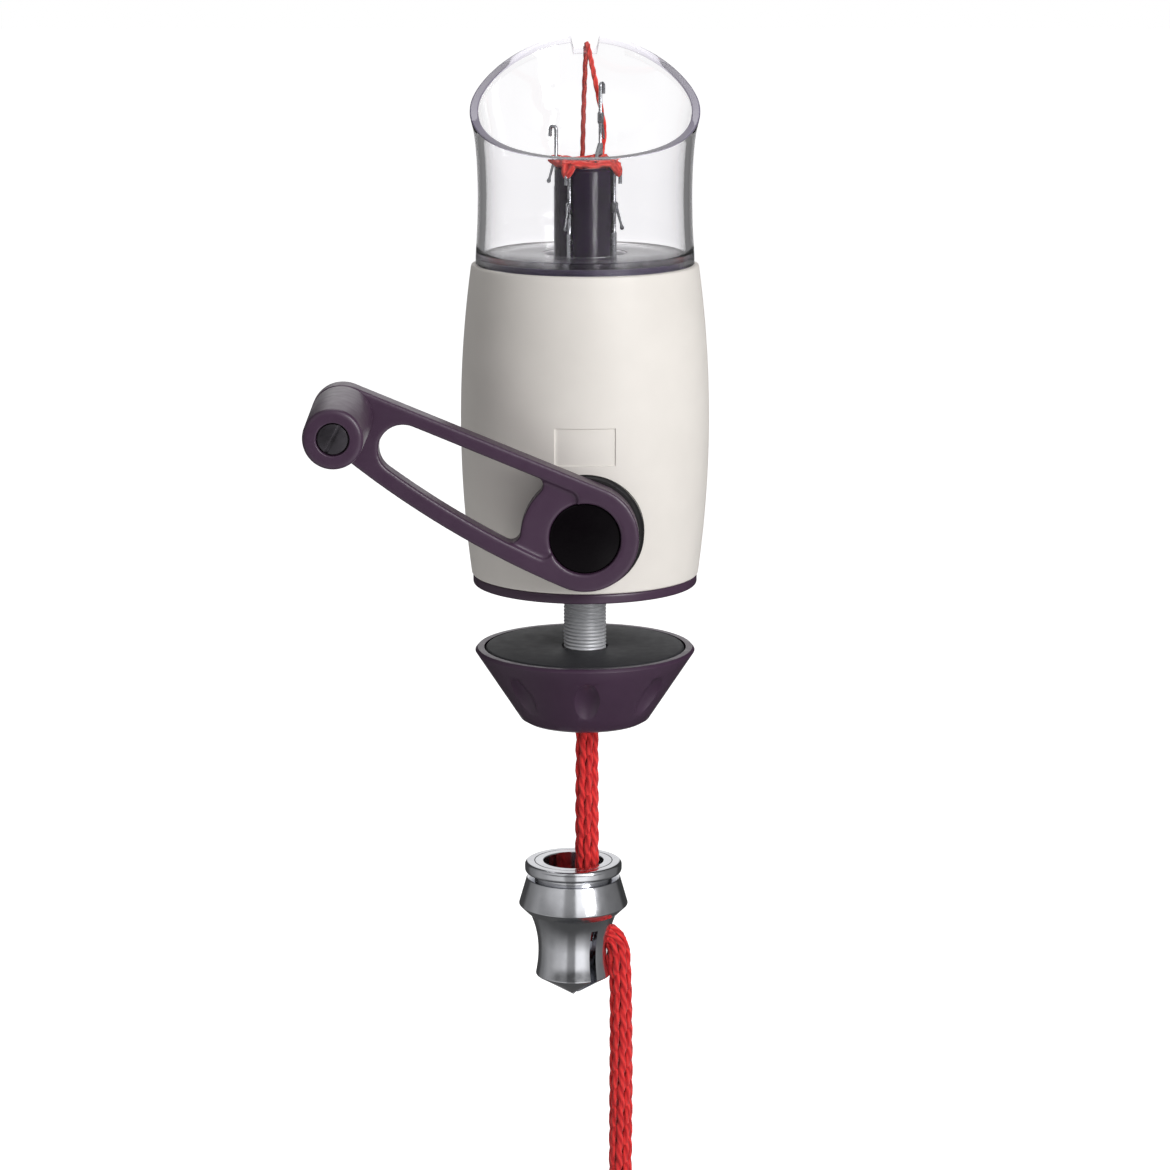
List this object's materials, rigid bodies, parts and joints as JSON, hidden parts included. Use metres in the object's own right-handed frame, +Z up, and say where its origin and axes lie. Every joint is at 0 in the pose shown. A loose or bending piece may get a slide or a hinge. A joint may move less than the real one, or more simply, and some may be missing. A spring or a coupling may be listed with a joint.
{
  "type": "knitting mill",
  "caption": "Hand-cranked knitting mill for i-cord: clamps to a table edge, with needles in a clear guard cup, a turning cylinder and a weight on the cord.",
  "frame": {"origin": "centre of the base pad's underside, on the needle cylinder's axis, where the base meets the table top", "axes": "+Z up along the needle cylinder's axis, crank and knob towards -Y, table board enters from +Y"},
  "size_m": [0.1074, 0.118, 0.3374],
  "materials": {
    "aubergine": "satin, dark aubergine",
    "ivory": "soft-touch matte",
    "clear": "clear polished acrylic, faint lilac at the edges",
    "black": "satin",
    "pad_grey": "matt",
    "white_nylon": "matt",
    "steel": "bright zinc",
    "black_steel": "black oxide",
    "needle_steel": "bright needle steel",
    "polished_steel": "polished",
    "brass": "turned",
    "red_yarn": "knitted yarn"
  },
  "bodies": {
    "housing": {"base_plate": "aubergine", "base_pad": "pad_grey", "body_shell": "ivory", "gear_frame": "white_nylon", "bearing_plate": "white_nylon", "thrust_washer": "steel", "standoffs": "steel", "base_screws": "steel", "plate_screws": "steel", "standoff_screws": "steel", "deck_screws": "steel", "bearing_screws": "steel", "lower_cam": "white_nylon", "upper_cam": "white_nylon", "needle_deck": "aubergine", "guard_cup": "clear", "shaft_bush": "brass", "crank_bearing": "black", "clamp_bolt": "steel", "guide_tube": "white_nylon", "working_yarn": "red_yarn"},
    "crank": {"crank_arm": "aubergine", "hub_cap": "black", "hub_screw": "steel", "crank_shaft": "steel", "drive_pinion": "white_nylon", "knob_screw": "black_steel"},
    "crank_knob": {"crank_knob": "aubergine"},
    "cylinder": {"needle_cylinder": "aubergine", "driven_gear": "white_nylon", "knitted_tube": "red_yarn", "knitted_cord": "red_yarn", "weight_body": "polished_steel", "weight_ring": "polished_steel", "weight_collar": "polished_steel"},
    "clamp_pad": {"clamp_pad": "pad_grey"},
    "clamp_knob": {"clamp_knob": "aubergine", "threaded_insert": "brass"},
    "needle_front_right": {"needle_front_right": "needle_steel"},
    "latch_front_right": {"latch_front_right": "needle_steel"},
    "needle_back_right": {"needle_back_right": "needle_steel"},
    "latch_back_right": {"latch_back_right": "needle_steel"},
    "needle_back_left": {"needle_back_left": "needle_steel"},
    "latch_back_left": {"latch_back_left": "needle_steel"},
    "needle_front_left": {"needle_front_left": "needle_steel"},
    "latch_front_left": {"latch_front_left": "needle_steel"}
  },
  "joints": [
    {"name": "crank_turn", "type": "hinge", "parent": "housing", "child": "crank", "pos_m": [0, -0.035, 0.0206], "axis": [0, 1, 0], "continuous": true},
    {"name": "knob_spin", "type": "hinge", "parent": "crank", "child": "crank_knob", "pos_m": [-0.0646, -0.06, 0.05394], "axis": [0, 1, 0], "continuous": true},
    {"name": "cylinder_turn", "type": "hinge", "parent": "housing", "child": "cylinder", "pos_m": [0, 0, 0.04], "axis": [0, 0, 1], "continuous": true},
    {"name": "clamp_travel", "type": "slide", "parent": "housing", "child": "clamp_pad", "axis": [0, 0, 1], "range_m": [-0.0111, 0.0151]},
    {"name": "clamp_spin", "type": "hinge", "parent": "clamp_pad", "child": "clamp_knob", "pos_m": [0, 0, -0.025], "axis": [0, 0, 1], "range_deg": [-3960, 5400]},
    {"name": "needle_front_right_slide", "type": "slide", "parent": "cylinder", "child": "needle_front_right", "axis": [0, 0, 1], "range_m": [0, 0.0232]},
    {"name": "latch_front_right_swing", "type": "hinge", "parent": "needle_front_right", "child": "latch_front_right", "pos_m": [0.00839, -0.00446, 0.1062], "axis": [-0.4695, -0.8829, 0], "range_deg": [0, 140]},
    {"name": "needle_back_right_slide", "type": "slide", "parent": "cylinder", "child": "needle_back_right", "axis": [0, 0, 1], "range_m": [-0.0232, 0]},
    {"name": "latch_back_right_swing", "type": "hinge", "parent": "needle_back_right", "child": "latch_back_right", "pos_m": [0.00446, 0.00839, 0.1294], "axis": [0.8829, -0.4695, 0], "range_deg": [0, 140]},
    {"name": "needle_back_left_slide", "type": "slide", "parent": "cylinder", "child": "needle_back_left", "axis": [0, 0, 1], "range_m": [-0.0118, 0.0114]},
    {"name": "latch_back_left_swing", "type": "hinge", "parent": "needle_back_left", "child": "latch_back_left", "pos_m": [-0.00839, 0.00446, 0.118], "axis": [0.4695, 0.8829, 0], "range_deg": [0, 140]},
    {"name": "needle_front_left_slide", "type": "slide", "parent": "cylinder", "child": "needle_front_left", "axis": [0, 0, 1], "range_m": [0, 0.0232]},
    {"name": "latch_front_left_swing", "type": "hinge", "parent": "needle_front_left", "child": "latch_front_left", "pos_m": [-0.00446, -0.00839, 0.1062], "axis": [-0.8829, 0.4695, 0], "range_deg": [0, 140]}
  ],
  "couplings": [
    {"joint": "cylinder_turn", "follows": "crank_turn", "ratio": 1},
    {"joint": "clamp_travel", "follows": "clamp_spin", "m_per_rad": 0.00015915}
  ]
}
